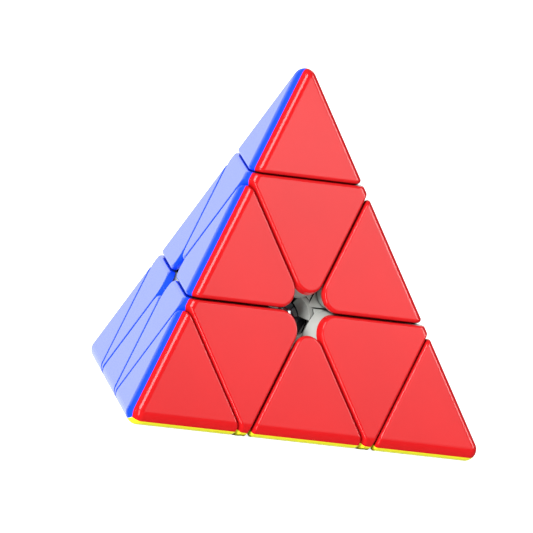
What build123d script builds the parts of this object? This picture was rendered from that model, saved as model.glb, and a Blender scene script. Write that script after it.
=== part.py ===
"""Pyramid twisty puzzle: a tetrahedron cut into four tips, four centres and six edges.

Units are millimetres. The origin is the point inside the puzzle where its four turning
axes cross, and +Z runs up through the top vertex. Every piece is a pale inner base with
coloured caps. The centres are screwed to a ball core through springs, the edges hang on
feet that slide between the ball and the centres, and the tips snap into the centres.
"""

import os
from math import asin, cos, degrees, sin, sqrt, tan, radians

from build123d import *

os.makedirs("parts", exist_ok=True)

# ---------------------------------------------------------------- driving dimensions
edge_length = 105.8          # edge of the sharp tetrahedron around the puzzle
edge_round = 2.7             # rounding of the outer edges and vertices
tip_fraction = 0.337         # tip cut, as a fraction of the height measured from the vertex
layer_fraction = 0.667       # layer cut, as a fraction of the height from the vertex
gap = 0.35                   # groove width between neighbouring pieces
tip_gap = 0.2                # groove width between a tip and its centre
rim_round = 0.8              # rounding where a coloured cap turns into a groove
cap_thickness = 1.5
centre_point_round = 4.2     # plan rounding of the centre caps at the middle of a face
edge_point_round = 4.6       # the same rounding on the edge caps
base_point_round = 5.7       # the same rounding on the pale bases beneath both

core_radius = 12.0           # ball in the middle
pocket_centre = 14.7         # grease pocket in the ball under each face's middle
pocket_radius = 5.5
shell_clearance = 0.2        # running space under and over the edge feet
foot_thickness = 3.8
foot_plane = 4.2             # height, along its turning axis, of the lower side of a layer's feet
face_hole_radius = 4.6       # round opening through the feet under each face's middle

arm_radius = 3.2             # core arms that carry the centres
bore_clearance = 0.05        # radial running clearance of every turning fit
stem_radius = 6.8            # sleeve of a centre, around its arm
arm_top = 15.6
sleeve_bore_top = 15.8
spring_floor = 17.4          # ledge in the centre that the spring presses on
spring_top = 24.5
spring_mean_radius = 2.6
spring_wire_radius = 0.4
spring_turns = 5
washer_radius = 3.3
washer_thickness = 0.7
screw_radius = 1.5
screw_head_radius = 3.1
screw_head_height = 2.2
screw_bottom = 8.5
ring_wall = 1.2              # ring under each cap that plugs into its base
ring_clearance = 0.05
tip_ring_radius = 3.6
tip_ring_depth = 1.6
tip_socket_depth = 2.0
centre_ring_radius = 7.0
centre_ring_depth = 2.5
centre_socket_depth = 5.5
edge_ring_radius = 4.2
edge_ring_depth = 1.8
edge_socket_depth = 2.5
tip_stem_radius = 3.6
tip_stem_bottom = 28.4
snap_bead_height = 29.8
snap_bead_depth = 0.4

# ---------------------------------------------------------------- derived dimensions
inradius = edge_length * sqrt(6) / 12
height = 4 * inradius
tip_plane = 3 * inradius - tip_fraction * height
layer_plane = 3 * inradius - layer_fraction * height
inner_inradius = inradius - cap_thickness
foot_inner_radius = core_radius + shell_clearance
foot_outer_radius = foot_inner_radius + foot_thickness
centre_hollow_radius = foot_outer_radius + shell_clearance
wall_slope = degrees(asin(1 / 3))   # lean of every cut plane from the face's normal
bore_radius = tip_stem_radius + bore_clearance
far = 2 * edge_length

# Unit directions from the origin to the four vertices in the master frame, in which each
# kind of piece is built once: the first vertex is straight up, the second leans to +X.
APEX = Vector(0, 0, 1)
OTHERS = [
    Vector(sqrt(8) / 3 * cos(radians(turn)), sqrt(8) / 3 * sin(radians(turn)), -1 / 3)
    for turn in (0, 120, 240)
]
CORNERS = [APEX] + OTHERS

# The same four directions in the finished puzzle, by name.
VERTICES = {
    "top": Vector(0, 0, 1),
    "back": Vector(0, sqrt(8) / 3, -1 / 3),
    "left": Vector(-sqrt(6) / 3, -sqrt(2) / 3, -1 / 3),
    "right": Vector(sqrt(6) / 3, -sqrt(2) / 3, -1 / 3),
}

# Colour of the face opposite each vertex.
FACE_COLOURS = {"back": "red", "right": "blue", "left": "green", "top": "yellow"}

EDGE_NAMES = [
    ("top", "left"),
    ("top", "right"),
    ("top", "back"),
    ("left", "right"),
    ("left", "back"),
    ("right", "back"),
]


# ---------------------------------------------------------------- helpers
def keep_beyond(direction, distance):
    """Trim the current solid to what lies farther out than a plane square to a direction."""
    split(bisect_by=Plane(origin=direction * distance, z_dir=direction), keep=Keep.TOP)


def keep_within(direction, distance):
    """Trim the current solid to what lies nearer than a plane square to a direction."""
    split(bisect_by=Plane(origin=direction * distance, z_dir=direction), keep=Keep.BOTTOM)


def in_face(vertex, opposite):
    """Unit direction that runs in the face opposite one vertex, towards another vertex."""
    return (vertex + opposite / 3).normalized()


def build_tetrahedron(face_distance):
    """Sharp tetrahedron whose faces lie at the given distance from the origin."""
    with BuildPart() as tetrahedron:
        Box(far, far, far)
        for corner in CORNERS:
            keep_within(-corner, face_distance)
    return tetrahedron.part


def rim_edges(solid):
    """Edges where the cut walls of a piece meet the outside of the puzzle."""
    skin = [
        face for face in solid.faces()
        if max(-corner.dot(face.center()) for corner in CORNERS) > inradius - 0.75 * edge_round
    ]
    rims = ShapeList()
    for face in skin:
        for edge in face.edges():
            if sum(edge.is_same(other) for near in skin for other in near.edges()) == 1:
                rims.append(edge)
    return rims


def build_point_cutter(opposite, towards, cut, slope_sign, radius):
    """Cutter that rounds the point of a piece at the middle of one face.

    It is a 120 degree sector with a cone taken out of it. The cone leans like the cut
    walls do, so it touches both of them along a straight line.
    """
    point = -opposite * inradius + towards * cut
    frame = Plane(origin=point + towards * 2 * radius, x_dir=-towards, z_dir=-opposite)
    reach = 3 * radius
    depth = inradius - foot_outer_radius + 1
    lift = 2.0
    lean = tan(radians(wall_slope)) * slope_sign
    with BuildPart() as cutter:
        with BuildSketch(frame.offset(-depth)):
            Polygon(
                (0, 0),
                (reach * cos(radians(60)), -reach * sin(radians(60))),
                (2 * reach, 0),
                (reach * cos(radians(60)), reach * sin(radians(60))),
                align=None,
            )
        extrude(amount=depth + lift)
        with Locations(frame.offset(-depth)):
            Cone(
                radius + lean * depth,
                radius - lean * lift,
                depth + lift,
                align=(Align.CENTER, Align.CENTER, Align.MIN),
                mode=Mode.SUBTRACT,
            )
    return cutter.part


def build_cap(block, opposite, neighbours, socket_centre, ring_radius, ring_depth):
    """One coloured cap: the part of a block outside its base, on one face of the puzzle."""
    frame = Plane(origin=socket_centre, z_dir=opposite)
    with BuildPart() as cap:
        add(block)
        add(inner_body.part, mode=Mode.SUBTRACT)
        for other in neighbours:
            keep_within((opposite - other).normalized(), 0)
        with BuildSketch(frame):
            Circle(ring_radius)
            Circle(ring_radius - ring_wall, mode=Mode.SUBTRACT)
        extrude(amount=ring_depth)
    return cap.part


def cut_sockets(sockets, radius, depth):
    """Cut one round socket under each cap of the current base."""
    for opposite, centre in sockets:
        with Locations(Plane(origin=centre, z_dir=opposite)):
            Cylinder(
                radius + ring_clearance,
                depth,
                align=(Align.CENTER, Align.CENTER, Align.MIN),
                mode=Mode.SUBTRACT,
            )


def column(radius, bottom, top, mode=Mode.ADD):
    """Cylinder on the Z axis between two heights."""
    with Locations((0, 0, bottom)):
        Cylinder(radius, top - bottom, align=(Align.CENTER, Align.CENTER, Align.MIN), mode=mode)


def snap_ring(radius, spare, mode=Mode.ADD):
    """Bead round a tip's stem, or the groove for it, with tapered sides."""
    swell = radius + snap_bead_depth
    with BuildSketch(Plane.XZ) as profile:
        Polygon(
            (radius - snap_bead_depth, snap_bead_height - snap_bead_depth - spare),
            (radius, snap_bead_height - snap_bead_depth - spare),
            (swell, snap_bead_height - spare),
            (swell, snap_bead_height + snap_bead_depth + spare),
            (radius, snap_bead_height + 2 * snap_bead_depth + spare),
            (radius - snap_bead_depth, snap_bead_height + 2 * snap_bead_depth + spare),
            align=None,
        )
    revolve(profile.sketch, axis=Axis.Z, mode=mode)


def frame_for(first, second):
    """Frame that carries a master piece to the corner or edge named by two vertices."""
    up = VERTICES[first]
    return Plane(origin=(0, 0, 0), x_dir=VERTICES[second] + up / 3, z_dir=up)


def colour_of(frame, opposite):
    """Colour of the puzzle face that one of a placed piece's own faces ends up on."""
    direction = frame.from_local_coords(opposite)
    vertex = max(VERTICES, key=lambda name: VERTICES[name].dot(direction))
    return FACE_COLOURS[vertex]


def export_placed(shape, frame, label):
    """Write one piece at its home in the puzzle."""
    with BuildPart() as placed:
        add(shape.moved(frame.location))
    placed.part.label = label
    export_step(placed.part, f"parts/{label}.step")


def export_piece(name, frame, base, caps):
    """Write a base and its coloured caps at their home in the puzzle."""
    export_placed(base, frame, f"{name}_base")
    for opposite, cap in caps:
        export_placed(cap, frame, f"{name}_{colour_of(frame, opposite)}_cap")


def export_fastener(shape, label):
    """Write one fastener four times, once along each turning axis, as a single node."""
    with BuildPart() as fasteners:
        for direction in VERTICES.values():
            add(shape.moved(Plane(origin=(0, 0, 0), z_dir=direction).location))
    fasteners.part.label = label
    export_step(fasteners.part, f"parts/{label}.step")


# ---------------------------------------------------------------- shared shapes
with BuildPart() as body:
    add(build_tetrahedron(inradius))
    fillet(body.edges(), radius=edge_round)

with BuildPart() as inner_body:
    add(build_tetrahedron(inner_inradius))
    fillet(inner_body.edges(), radius=edge_round - cap_thickness)

# ---------------------------------------------------------------- tip
tip_floor = tip_plane + tip_gap / 2
tip_height = 3 * inner_inradius - tip_floor
tip_socket_reach = (tip_floor + tip_height / 3 - inner_inradius / 3) * 3 / sqrt(8)
tip_sockets = [
    (corner, -corner * inner_inradius + in_face(APEX, corner) * tip_socket_reach)
    for corner in OTHERS
]

with BuildPart() as tip_block:
    add(body.part)
    keep_beyond(APEX, tip_floor)
    fillet(rim_edges(tip_block.part), radius=rim_round)

with BuildPart() as tip_base:
    add(inner_body.part)
    keep_beyond(APEX, tip_floor)
    cut_sockets(tip_sockets, tip_ring_radius, tip_socket_depth)
    column(tip_stem_radius, tip_stem_bottom, tip_floor)
    snap_ring(tip_stem_radius, 0)

tip_caps = [
    (corner, build_cap(tip_block.part, corner, [o for o in OTHERS if o is not corner], spot,
                       tip_ring_radius, tip_ring_depth))
    for corner, spot in tip_sockets
]

# ---------------------------------------------------------------- centre
centre_floor = layer_plane + gap / 2
centre_wall = layer_plane - gap / 2
centre_top = tip_plane - tip_gap / 2
centre_cut = (inradius / 3 - centre_wall) * 3 / sqrt(2)
centre_near = (inner_inradius / 3 - centre_wall) * 3 / sqrt(2)
centre_far = (centre_top - inner_inradius / 3) * 3 / sqrt(8)
centre_socket_reach = centre_far - (centre_far - centre_near) / 3
centre_sockets = [
    (corner, -corner * inner_inradius + in_face(APEX, corner) * centre_socket_reach)
    for corner in OTHERS
]


def trim_centre(point_round):
    """Cut the current solid to the outline of a centre, with rounded points."""
    keep_beyond(APEX, centre_floor)
    keep_within(APEX, centre_top)
    for corner in OTHERS:
        keep_within(corner, centre_wall)
    for corner in OTHERS:
        add(
            build_point_cutter(corner, in_face(APEX, corner), centre_cut, 1, point_round),
            mode=Mode.SUBTRACT,
        )


with BuildPart() as centre_block:
    add(body.part)
    trim_centre(centre_point_round)
    fillet(rim_edges(centre_block.part), radius=rim_round)

with BuildPart() as centre_base:
    add(inner_body.part)
    trim_centre(base_point_round)
    Sphere(centre_hollow_radius, mode=Mode.SUBTRACT)
    column(stem_radius, core_radius / 2, spring_top)
    Sphere(foot_inner_radius, mode=Mode.SUBTRACT)
    cut_sockets(centre_sockets, centre_ring_radius, centre_socket_depth)
    column(arm_radius + bore_clearance, 0, sleeve_bore_top, mode=Mode.SUBTRACT)
    column(screw_radius + bore_clearance, 0, spring_floor, mode=Mode.SUBTRACT)
    column(bore_radius, spring_floor, tip_plane, mode=Mode.SUBTRACT)
    snap_ring(bore_radius, bore_clearance, mode=Mode.SUBTRACT)

centre_caps = [
    (corner, build_cap(centre_block.part, corner, [o for o in OTHERS if o is not corner], spot,
                       centre_ring_radius, centre_ring_depth))
    for corner, spot in centre_sockets
]

# ---------------------------------------------------------------- edge
SIDE, *EDGE_FACES = OTHERS
edge_wall = layer_plane + gap / 2
edge_cut = (edge_wall - inradius / 3) * 3 / sqrt(2)
edge_near = (edge_wall - inner_inradius / 3) * 3 / sqrt(2)
edge_far = inner_inradius * sqrt(2)
edge_socket_reach = edge_far - (edge_far - edge_near) / 3
edge_outward = {
    EDGE_FACES[0]: -in_face(EDGE_FACES[1], EDGE_FACES[0]),
    EDGE_FACES[1]: -in_face(EDGE_FACES[0], EDGE_FACES[1]),
}
edge_sockets = [
    (corner, -corner * inner_inradius + edge_outward[corner] * edge_socket_reach)
    for corner in EDGE_FACES
]


def trim_edge(point_round):
    """Cut the current solid to the outline of an edge, with rounded points."""
    keep_beyond(APEX, edge_wall)
    keep_beyond(SIDE, edge_wall)
    for corner in EDGE_FACES:
        add(
            build_point_cutter(corner, edge_outward[corner], edge_cut, -1, point_round),
            mode=Mode.SUBTRACT,
        )


with BuildPart() as edge_block:
    add(body.part)
    trim_edge(edge_point_round)
    fillet(rim_edges(edge_block.part), radius=rim_round)

with BuildPart() as edge_foot:
    Sphere(foot_outer_radius)
    Sphere(foot_inner_radius, mode=Mode.SUBTRACT)
    for corner in (APEX, SIDE):
        keep_beyond(corner, foot_plane + gap / 2)
    for corner in EDGE_FACES:
        keep_within(corner, foot_plane - gap / 2)
    for corner in EDGE_FACES:
        with Locations(Plane(origin=(0, 0, 0), z_dir=-corner)):
            Cylinder(
                face_hole_radius,
                far,
                align=(Align.CENTER, Align.CENTER, Align.MIN),
                mode=Mode.SUBTRACT,
            )

with BuildPart() as edge_base:
    add(inner_body.part)
    trim_edge(base_point_round)
    cut_sockets(edge_sockets, edge_ring_radius, edge_socket_depth)
    add(edge_foot.part)

edge_caps = [
    (corner, build_cap(edge_block.part, corner, [o for o in EDGE_FACES if o is not corner], spot,
                       edge_ring_radius, edge_ring_depth))
    for corner, spot in edge_sockets
]

# ---------------------------------------------------------------- core and fasteners
with BuildPart() as core:
    Sphere(core_radius)
    for direction in VERTICES.values():
        with Locations(Plane(origin=(0, 0, 0), z_dir=direction)):
            Cylinder(arm_radius, arm_top, align=(Align.CENTER, Align.CENTER, Align.MIN))
    for direction in VERTICES.values():
        with Locations(Plane(origin=direction * screw_bottom, z_dir=direction)):
            Cylinder(
                screw_radius,
                arm_top,
                align=(Align.CENTER, Align.CENTER, Align.MIN),
                mode=Mode.SUBTRACT,
            )
    for direction in VERTICES.values():
        with Locations(Plane(origin=-direction * pocket_centre, z_dir=direction)):
            Sphere(pocket_radius, mode=Mode.SUBTRACT)

with BuildPart() as screw:
    column(screw_radius, screw_bottom, spring_top + washer_thickness)
    column(
        screw_head_radius,
        spring_top + washer_thickness,
        spring_top + washer_thickness + screw_head_height,
    )
    with BuildSketch(Plane.XY.offset(spring_top + washer_thickness + screw_head_height)):
        Rectangle(1.4 * screw_head_radius, 0.3 * screw_head_radius)
        Rectangle(0.3 * screw_head_radius, 1.4 * screw_head_radius)
    extrude(amount=-screw_head_height / 2, mode=Mode.SUBTRACT)

with BuildPart() as spring:
    coil_height = spring_top - spring_floor - 2 * spring_wire_radius
    with BuildLine() as coil:
        Helix(
            coil_height / spring_turns,
            coil_height,
            spring_mean_radius,
            center=(0, 0, spring_floor + spring_wire_radius),
        )
    with BuildSketch(Plane(origin=coil.line @ 0, z_dir=coil.line % 0)):
        Circle(spring_wire_radius)
    sweep(path=coil.line)

with BuildPart() as washer:
    column(washer_radius, spring_top, spring_top + washer_thickness)
    column(
        screw_radius + bore_clearance,
        spring_top,
        spring_top + washer_thickness,
        mode=Mode.SUBTRACT,
    )

# ---------------------------------------------------------------- hand out the pieces
core.part.label = "core"
export_step(core.part, "parts/core.step")
export_fastener(screw.part, "axis_screws")
export_fastener(spring.part, "axis_springs")
export_fastener(washer.part, "spring_washers")

NEXT_VERTEX = {"top": "back", "back": "left", "left": "right", "right": "top"}
for vertex, following in NEXT_VERTEX.items():
    home = frame_for(vertex, following)
    export_piece(f"tip_{vertex}", home, tip_base.part, tip_caps)
    export_piece(f"centre_{vertex}", home, centre_base.part, centre_caps)

for first, second in EDGE_NAMES:
    export_piece(f"edge_{first}_{second}", frame_for(first, second), edge_base.part, edge_caps)
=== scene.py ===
"""Looks of the pyramid twisty puzzle: materials, floor, light and camera.

The shapes are the CAD nodes themselves. This script gives each kind of piece its own
procedural material and sets up a plain white studio around the puzzle.
"""

import math

import bpy
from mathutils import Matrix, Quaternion, Vector


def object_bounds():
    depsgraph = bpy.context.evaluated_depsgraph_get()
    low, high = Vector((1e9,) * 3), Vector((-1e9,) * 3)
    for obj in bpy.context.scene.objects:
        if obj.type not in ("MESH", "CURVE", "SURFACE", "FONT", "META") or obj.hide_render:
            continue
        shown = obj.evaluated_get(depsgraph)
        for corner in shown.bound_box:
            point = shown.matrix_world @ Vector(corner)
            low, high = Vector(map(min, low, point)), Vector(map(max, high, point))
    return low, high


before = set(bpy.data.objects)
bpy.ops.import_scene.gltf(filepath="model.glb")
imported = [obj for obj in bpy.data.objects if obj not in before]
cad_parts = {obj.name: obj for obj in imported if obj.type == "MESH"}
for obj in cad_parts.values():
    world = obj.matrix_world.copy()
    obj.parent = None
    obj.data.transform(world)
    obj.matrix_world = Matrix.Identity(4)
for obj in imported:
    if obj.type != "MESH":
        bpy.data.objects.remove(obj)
cad_low, cad_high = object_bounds()

# ---------------------------------------------------------------- the puzzle
# The resting face lies one inradius below the origin.
inradius = -cad_low.z

# Directions from the middle to the four vertices.
VERTICES = [
    Vector((0, 0, 1)),
    Vector((0, math.sqrt(8) / 3, -1 / 3)),
    Vector((-math.sqrt(6) / 3, -math.sqrt(2) / 3, -1 / 3)),
    Vector((math.sqrt(6) / 3, -math.sqrt(2) / 3, -1 / 3)),
]

# The cuts meet the edges at these fractions of their length from a vertex, and cross the
# axis to that vertex at these heights.
tip_fraction = 0.337
layer_fraction = 0.667
CUT_HEIGHTS = [(3 - 4 * fraction) * inradius for fraction in (tip_fraction, layer_fraction)]

# The red face looks away from the back vertex.
red_normal = -VERTICES[1]

# ---------------------------------------------------------------- colours
CAP_COLOURS = {
    "red": (0.60, 0.007, 0.009),
    "blue": (0.006, 0.058, 0.98),
    "green": (0.012, 0.42, 0.055),
    "yellow": (0.90, 0.92, 0.030),
}
# Painted glow: each colour of cap gives off a little light of its own, which shows most in the
# narrow grooves.
CAP_PAINTED_GLOWS = {"red": 0.02, "blue": 0.16, "green": 0.04, "yellow": 0.04}
BASE_COLOUR = (0.50, 0.52, 0.49)
CORE_COLOUR = (0.006, 0.010, 0.022)
STEEL_COLOUR = (0.56, 0.56, 0.58)
WHITE = (1.0, 1.0, 1.0)
FLOOR_WHITE = (0.8, 0.8, 0.8)
ROOM_WHITE = (0.8, 0.8, 0.8)
MIRRORED_WHITE = (0.79, 0.85, 0.86)

# ---------------------------------------------------------------- surface detail, metres
painted_shade_reach = 0.0012          # how near another surface has to be for painted shade to gather
groove_inner = 0.0009        # distance from a cut plane where the painted groove shade starts to fade
groove_outer = 0.0013        # and where it has faded out
worn_edge_reach = 0.0004     # width of the paler line along a base's sharp edges
full_sheen = 0.5             # a surface's specular level away from painted shade; the painted shade has none
cap_relief = 0.00002         # depth of the fine grain on each material
base_relief = 0.00005
core_relief = 0.00003
steel_relief = 0.00004

# ---------------------------------------------------------------- camera and floor
floor_size = 200 * inradius
floor_glow = 0.9             # seen by the camera only
camera_distance = 230 * inradius
camera_lens = 1481           # millimetres; the angles below are in degrees
camera_azimuth = -36.91
camera_elevation = 7.26
camera_roll = 12.12
aim_right = 0.147 * inradius  # middle of the picture, counted from the origin
aim_up = 0.591 * inradius

# ---------------------------------------------------------------- lights
panel_direction = Vector((0.594, -0.700, 0.396)).normalized()
panel_distance = 12 * inradius
panel_size = 6.6 * inradius
panel_bright = 2.36          # strength at its upper end
panel_dim = 0.73             # strength at its lower end
panel_lean = -27             # degrees it is turned in its own plane

key_direction = Vector((-0.80, -0.50, 0.33))
key_strength = 3.6
key_angle = 20               # degrees; the wider, the softer its shadows

backdrop_glow = 0.4          # what the camera sees of the room above its own light
room_glow = 0.12             # what reflections see of the room between the softboxes
softbox_border = 1.5         # half the width of a softbox's faded border, degrees
# Direction, half width, half height in degrees, and strength of each softbox.
SOFTBOXES = [
    ((0.34, 0.94, 0.0), 38, 38, 1.22),
    ((-0.14, -0.57, 0.81), 7.5, 12, 10.5),
    ((0.829, -0.367, 0.422), 5, 12, 9.0),
    ((-0.386, -0.909, 0.156), 6, 22, 8.0),
]


# ---------------------------------------------------------------- node helpers
def new_material(name):
    """Empty material with its node tree, principled shader and output linked up."""
    material = bpy.data.materials.new(name)
    material.use_nodes = True
    tree = material.node_tree
    tree.nodes.clear()
    output = tree.nodes.new("ShaderNodeOutputMaterial")
    shader = tree.nodes.new("ShaderNodeBsdfPrincipled")
    tree.links.new(shader.outputs["BSDF"], output.inputs["Surface"])
    return material, tree, shader


def object_space(tree):
    """Coordinates in metres, fixed to the piece."""
    return tree.nodes.new("ShaderNodeTexCoord").outputs["Object"]


def noise(tree, space, per_metre, detail, stretch=(1, 1, 1)):
    """Soft noise with so many features to the metre."""
    mapping = tree.nodes.new("ShaderNodeMapping")
    mapping.inputs["Scale"].default_value = stretch
    texture = tree.nodes.new("ShaderNodeTexNoise")
    texture.inputs["Scale"].default_value = per_metre
    texture.inputs["Detail"].default_value = detail
    tree.links.new(space, mapping.inputs["Vector"])
    tree.links.new(mapping.outputs["Vector"], texture.inputs["Vector"])
    return texture.outputs["Fac"]


def spread(tree, value, low, high, start=0.3, end=0.7):
    """Value carried from one range to another; the default range is what noise covers."""
    node = tree.nodes.new("ShaderNodeMapRange")
    node.inputs["From Min"].default_value = start
    node.inputs["From Max"].default_value = end
    node.inputs["To Min"].default_value = low
    node.inputs["To Max"].default_value = high
    tree.links.new(value, node.inputs["Value"])
    return node.outputs["Result"]


def blend_colours(tree, factor, first, second):
    """Colour between two others; either may be a plain colour or another node's output."""
    node = tree.nodes.new("ShaderNodeMix")
    node.data_type = "RGBA"
    tree.links.new(factor, node.inputs["Factor"])
    for socket, colour in ((node.inputs["A"], first), (node.inputs["B"], second)):
        if isinstance(colour, tuple):
            socket.default_value = (*colour, 1)
        else:
            tree.links.new(colour, socket)
    return node.outputs["Result"]


def scaled(colour, factor, lift=0.0):
    """Plain colour made darker or lighter, with a little white added."""
    return tuple(channel * factor + lift for channel in colour)


def cloudy(tree, clouds, colour, darkest, lightest):
    """Colour that drifts a little darker and lighter with the clouds."""
    dark = scaled(colour, darkest)
    light = scaled(colour, lightest)
    return blend_colours(tree, spread(tree, clouds, 0, 1), dark, light)


def bump(tree, shader, height, strength, distance):
    """Fine relief on a shader."""
    node = tree.nodes.new("ShaderNodeBump")
    node.inputs["Strength"].default_value = strength
    node.inputs["Distance"].default_value = distance
    tree.links.new(height, node.inputs["Height"])
    tree.links.new(node.outputs["Normal"], shader.inputs["Normal"])


def calculate(tree, operation, first, second=0.0):
    """Sum, product or the like of two values; either may be a plain number."""
    node = tree.nodes.new("ShaderNodeMath")
    node.operation = operation
    for socket, value in zip(node.inputs, (first, second)):
        if isinstance(value, float):
            socket.default_value = value
        else:
            tree.links.new(value, socket)
    return node.outputs["Value"]


def along(tree, vector, direction):
    """How far a vector reaches along a direction; the direction may be another output."""
    node = tree.nodes.new("ShaderNodeVectorMath")
    node.operation = "DOT_PRODUCT"
    tree.links.new(vector, node.inputs[0])
    if isinstance(direction, Vector):
        node.inputs[1].default_value = direction
    else:
        tree.links.new(direction, node.inputs[1])
    return node.outputs["Value"]


# ---------------------------------------------------------------- painted rim highlight, worn edges and painted shade
def rim_mask(tree):
    """One where a cap curves away from its flat faces and cut walls, nothing on the flats."""
    normal = tree.nodes.new("ShaderNodeTexCoord").outputs["Normal"]
    squareness = 0.0
    for vertex in VERTICES:
        facing = calculate(tree, "ABSOLUTE", along(tree, normal, vertex))
        squareness = calculate(tree, "MAXIMUM", facing, squareness)
    return spread(tree, squareness, 1.0, 0.0, start=0.80, end=0.995)


def sharp_edge_mask(tree, reach):
    """One within a short reach of a sharp edge."""
    bevel = tree.nodes.new("ShaderNodeBevel")
    bevel.samples = 4
    bevel.inputs["Radius"].default_value = reach
    surface = tree.nodes.new("ShaderNodeNewGeometry").outputs["Normal"]
    agreement = along(tree, bevel.outputs["Normal"], surface)
    return spread(tree, agreement, 1.0, 0.0, start=0.80, end=0.97)


def near_cut(tree, space):
    """One close to the planes the puzzle is cut along, nothing away from them."""
    nearest = 1.0
    for vertex in VERTICES:
        reach = along(tree, space, vertex)
        for cut in CUT_HEIGHTS:
            distance = calculate(tree, "ABSOLUTE", calculate(tree, "SUBTRACT", reach, cut))
            nearest = calculate(tree, "MINIMUM", distance, nearest)
    return spread(tree, nearest, 1.0, 0.0, start=groove_inner, end=groove_outer)


def painted_shade_mask(tree):
    """One where two surfaces nearly touch: the mask for painted shade in creases and grooves.
    """
    occlusion = tree.nodes.new("ShaderNodeAmbientOcclusion")
    occlusion.samples = 8
    occlusion.inputs["Distance"].default_value = painted_shade_reach
    return spread(tree, occlusion.outputs["AO"], 1.0, 0.0, start=0.25, end=0.65)


def finish_surface(tree, shader, colour, crevice_shade, darkness):
    """Base colour with painted shade where surfaces nearly touch; the painted shade is dull as
    well as dark.
    """
    shaded_colour = tree.nodes.new("ShaderNodeMix")
    shaded_colour.data_type = "RGBA"
    shaded_colour.blend_type = "MULTIPLY"
    shaded_colour.inputs["B"].default_value = (darkness, darkness, darkness, 1)
    tree.links.new(crevice_shade, shaded_colour.inputs["Factor"])
    tree.links.new(colour, shaded_colour.inputs["A"])
    tree.links.new(shaded_colour.outputs["Result"], shader.inputs["Base Color"])
    sheen = spread(tree, crevice_shade, full_sheen, 0.0, start=0.0, end=1.0)
    tree.links.new(sheen, shader.inputs["Specular IOR Level"])


# ---------------------------------------------------------------- materials
def cap_plastic(name, colour, glow):
    """Satin coloured cap: slight flow clouds, faint scuffs, a patchy painted highlight along
    the rims, painted shade in the grooves and a faint painted glow.
    """
    material, tree, shader = new_material(name)
    space = object_space(tree)
    clouds = noise(tree, space, per_metre=45, detail=3)
    grain = noise(tree, space, per_metre=5200, detail=2)
    scuffs = noise(tree, space, per_metre=900, detail=4, stretch=(1, 6, 1))
    body = cloudy(tree, clouds, colour, darkest=0.96, lightest=1.03)
    patchy = spread(tree, scuffs, low=0.2, high=1.0)
    # Painted highlight: the rims are lightened a little, patchy with the scuffs.
    rim_highlight = calculate(tree, "MULTIPLY", rim_mask(tree), patchy)
    pale_edged = blend_colours(tree, rim_highlight, body, scaled(colour, 1.0, lift=0.003))
    # Painted shade: the cap colour is darkened and made dull in the grooves, near the cut
    # planes.
    crevice_shade = calculate(tree, "MULTIPLY", painted_shade_mask(tree), near_cut(tree, space))
    finish_surface(tree, shader, pale_edged, crevice_shade, darkness=0.22)
    # Painted glow: the cap emits a little of its own colour.
    tree.links.new(body, shader.inputs["Emission Color"])
    shader.inputs["Emission Strength"].default_value = glow
    roughness = spread(tree, scuffs, low=0.11, high=0.16)
    tree.links.new(roughness, shader.inputs["Roughness"])
    shader.inputs["IOR"].default_value = 1.49
    bump(tree, shader, grain, strength=0.015, distance=cap_relief)
    return material


def base_plastic(name):
    """Matt pale grey moulding with spark-eroded grain and a little grease sheen."""
    material, tree, shader = new_material(name)
    space = object_space(tree)
    clouds = noise(tree, space, per_metre=80, detail=3)
    grain = noise(tree, space, per_metre=4200, detail=3)
    body = cloudy(tree, clouds, BASE_COLOUR, darkest=0.92, lightest=1.06)
    edges = sharp_edge_mask(tree, worn_edge_reach)
    pale_edged = blend_colours(tree, edges, body, scaled(BASE_COLOUR, 1.15))
    # Painted shade: the base colour is darkened and made dull wherever another surface is
    # near.
    finish_surface(tree, shader, pale_edged, painted_shade_mask(tree), darkness=0.10)
    roughness = spread(tree, clouds, low=0.34, high=0.52)
    tree.links.new(roughness, shader.inputs["Roughness"])
    bump(tree, shader, grain, strength=0.15, distance=base_relief)
    return material


def core_plastic(name):
    """Near-black polished ball, slick with lubricant."""
    material, tree, shader = new_material(name)
    space = object_space(tree)
    streaks = noise(tree, space, per_metre=150, detail=4, stretch=(1, 1, 4))
    grain = noise(tree, space, per_metre=2500, detail=2)
    body = cloudy(tree, streaks, CORE_COLOUR, darkest=1.0, lightest=1.8)
    tree.links.new(body, shader.inputs["Base Color"])
    roughness = spread(tree, streaks, low=0.06, high=0.14)
    tree.links.new(roughness, shader.inputs["Roughness"])
    shader.inputs["IOR"].default_value = 2.2
    shader.inputs["Coat Weight"].default_value = 1.0
    shader.inputs["Coat IOR"].default_value = 2.0
    shader.inputs["Coat Roughness"].default_value = 0.06
    bump(tree, shader, grain, strength=0.05, distance=core_relief)
    return material


def steel(name, stretch):
    """Plated steel with turning marks, which are finest along the larger scales."""
    material, tree, shader = new_material(name)
    space = object_space(tree)
    marks = noise(tree, space, per_metre=1800, detail=4, stretch=stretch)
    clouds = noise(tree, space, per_metre=300, detail=3)
    body = cloudy(tree, clouds, STEEL_COLOUR, darkest=0.85, lightest=1.1)
    tree.links.new(body, shader.inputs["Base Color"])
    shader.inputs["Metallic"].default_value = 1.0
    roughness = spread(tree, marks, low=0.18, high=0.38)
    tree.links.new(roughness, shader.inputs["Roughness"])
    bump(tree, shader, marks, strength=0.2, distance=steel_relief)
    return material


def floor_white(name):
    """White studio table that glows a little for the camera, so that no shadow shows on it."""
    material, tree, shader = new_material(name)
    shader.inputs["Base Color"].default_value = (*FLOOR_WHITE, 1)
    shader.inputs["Roughness"].default_value = 1.0
    shader.inputs["Specular IOR Level"].default_value = 0.0
    shader.inputs["Emission Color"].default_value = (*WHITE, 1)
    seen = tree.nodes.new("ShaderNodeLightPath").outputs["Is Camera Ray"]
    glow = calculate(tree, "MULTIPLY", seen, floor_glow)
    tree.links.new(glow, shader.inputs["Emission Strength"])
    return material


def dress(node, material):
    """Give a CAD node one material in place of the one it was packed with."""
    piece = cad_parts[node]
    piece.data.materials.clear()
    piece.data.materials.append(material)


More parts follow.
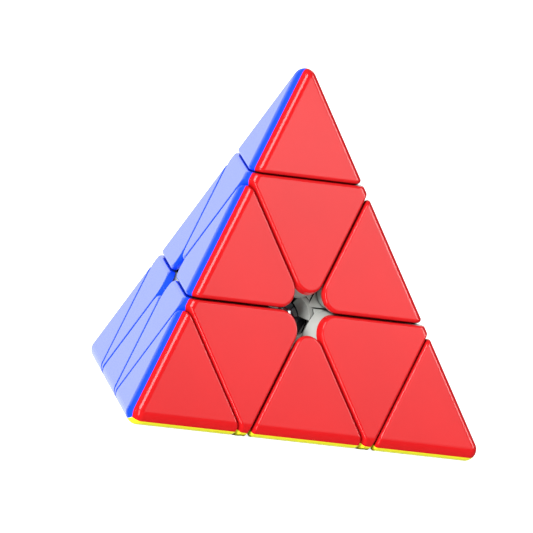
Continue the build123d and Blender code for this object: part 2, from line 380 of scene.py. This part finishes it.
def dress_pieces():
    """Choose each node's material by the kind of piece it is."""
    caps = {
        colour: cap_plastic(f"{colour}_cap_plastic", CAP_COLOURS[colour], CAP_PAINTED_GLOWS[colour])
        for colour in CAP_COLOURS
    }
    bases = base_plastic("base_plastic")
    inner_parts = {
        "axis_screws": steel("screw_steel", (1, 1, 1)),
        "axis_springs": steel("spring_steel", (1, 1, 6)),
        "spring_washers": steel("washer_steel", (4, 1, 1)),
        "core": core_plastic("core_plastic"),
    }
    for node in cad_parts:
        if node.endswith("_cap"):
            dress(node, caps[node.split("_")[-2]])
        elif node.endswith("_base"):
            dress(node, bases)
        else:
            dress(node, inner_parts[node])


# ---------------------------------------------------------------- studio
def build_floor():
    """Level white floor under the resting face."""
    bpy.ops.mesh.primitive_plane_add(size=floor_size, location=(0, 0, cad_low.z))
    floor = bpy.context.object
    floor.name = "studio_floor"
    floor.data.materials.append(floor_white("floor_white"))
    floor.visible_glossy = False


def panel_light(name):
    """Plain light, dim at one end of the panel and bright at the other."""
    material = bpy.data.materials.new(name)
    material.use_nodes = True
    tree = material.node_tree
    tree.nodes.clear()
    output = tree.nodes.new("ShaderNodeOutputMaterial")
    glow = tree.nodes.new("ShaderNodeEmission")
    split = tree.nodes.new("ShaderNodeSeparateXYZ")
    across = tree.nodes.new("ShaderNodeTexCoord").outputs["Generated"]
    tree.links.new(across, split.inputs["Vector"])
    strength = spread(tree, split.outputs["Y"], panel_dim, panel_bright, start=0.2, end=0.8)
    tree.links.new(strength, glow.inputs["Strength"])
    tree.links.new(glow.outputs["Emission"], output.inputs["Surface"])
    return material


def build_panel():
    """Softbox that the red flats mirror: brighter towards its top, unseen by the camera."""
    place = red_normal * inradius + panel_direction * panel_distance
    bpy.ops.mesh.primitive_plane_add(size=panel_size, location=place)
    panel = bpy.context.object
    panel.name = "studio_panel"
    panel.rotation_mode = "QUATERNION"
    upright = panel_direction.to_track_quat("Z", "Y")
    panel.rotation_quaternion = upright @ Quaternion((0, 0, 1), math.radians(panel_lean))
    panel.data.materials.append(panel_light("panel_light"))
    panel.visible_camera = False
    panel.visible_diffuse = False
    panel.visible_shadow = False


def softbox(tree, direction, towards, half_width, half_height, strength):
    """Rectangular bright patch of sky around one direction, with soft borders."""
    middle = Vector(towards).normalized()
    side = middle.cross(Vector((0, 0, 1))).normalized()
    upward = side.cross(middle)
    ahead = along(tree, direction, middle)
    inside = spread(tree, ahead, 0.0, strength, start=0.0, end=0.05)
    for axis, half_angle in ((side, half_width), (upward, half_height)):
        offset = calculate(tree, "ABSOLUTE", along(tree, direction, axis))
        inner = math.sin(math.radians(half_angle - softbox_border))
        outer = math.sin(math.radians(half_angle + softbox_border))
        cover = spread(tree, offset, 1.0, 0.0, start=inner, end=outer)
        inside = calculate(tree, "MULTIPLY", inside, cover)
    return inside


def build_world():
    """White all round for soft light; glossy reflections see a few softboxes in a dim room."""
    world = bpy.data.worlds.new("studio")
    bpy.context.scene.world = world
    world.use_nodes = True
    tree = world.node_tree
    tree.nodes.clear()
    output = tree.nodes.new("ShaderNodeOutputWorld")
    background = tree.nodes.new("ShaderNodeBackground")
    direction = tree.nodes.new("ShaderNodeTexCoord").outputs["Generated"]
    sky = room_glow
    for patch in SOFTBOXES:
        sky = calculate(tree, "ADD", softbox(tree, direction, *patch), sky)
    path = tree.nodes.new("ShaderNodeLightPath")
    mirrored = path.outputs["Is Glossy Ray"]
    backdrop = calculate(tree, "MULTIPLY", path.outputs["Is Camera Ray"], backdrop_glow)
    chooser = tree.nodes.new("ShaderNodeMix")
    chooser.data_type = "FLOAT"
    tree.links.new(mirrored, chooser.inputs["Factor"])
    tree.links.new(calculate(tree, "ADD", backdrop, 1.0), chooser.inputs["A"])
    tree.links.new(sky, chooser.inputs["B"])
    tint = blend_colours(tree, mirrored, ROOM_WHITE, MIRRORED_WHITE)
    tree.links.new(chooser.outputs["Result"], background.inputs["Strength"])
    tree.links.new(tint, background.inputs["Color"])
    tree.links.new(background.outputs["Background"], output.inputs["Surface"])


def build_key_light():
    """Soft key light from beside the camera, which reaches into the holes between the caps."""
    data = bpy.data.lights.new("key_light", "SUN")
    data.energy = key_strength
    data.angle = math.radians(key_angle)
    key = bpy.data.objects.new("key_light", data)
    bpy.context.scene.collection.objects.link(key)
    key.visible_glossy = False
    key.rotation_mode = "QUATERNION"
    key.rotation_quaternion = key_direction.to_track_quat("Z", "Y")


def build_camera():
    """Long lens, so the view is all but parallel, rolled as the puzzle was shown."""
    azimuth = math.radians(camera_azimuth)
    elevation = math.radians(camera_elevation)
    back = Vector((
        math.sin(azimuth) * math.cos(elevation),
        -math.cos(azimuth) * math.cos(elevation),
        math.sin(elevation),
    ))
    level = (-back).to_track_quat("-Z", "Y")
    turned = level @ Quaternion((0, 0, 1), math.radians(camera_roll))
    data = bpy.data.cameras.new("camera")
    data.lens = camera_lens
    data.clip_start = 0.01
    data.clip_end = 100
    camera = bpy.data.objects.new("camera", data)
    bpy.context.scene.collection.objects.link(camera)
    camera.rotation_mode = "QUATERNION"
    camera.rotation_quaternion = turned
    aim = turned @ Vector((aim_right, aim_up, 0))
    camera.location = aim + back * camera_distance
    bpy.context.scene.camera = camera


def main():
    """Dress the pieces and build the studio."""
    dress_pieces()
    build_floor()
    build_panel()
    build_world()
    build_key_light()
    build_camera()
    bpy.context.scene.view_settings.view_transform = "Standard"
    bpy.context.view_layer.update()


main()
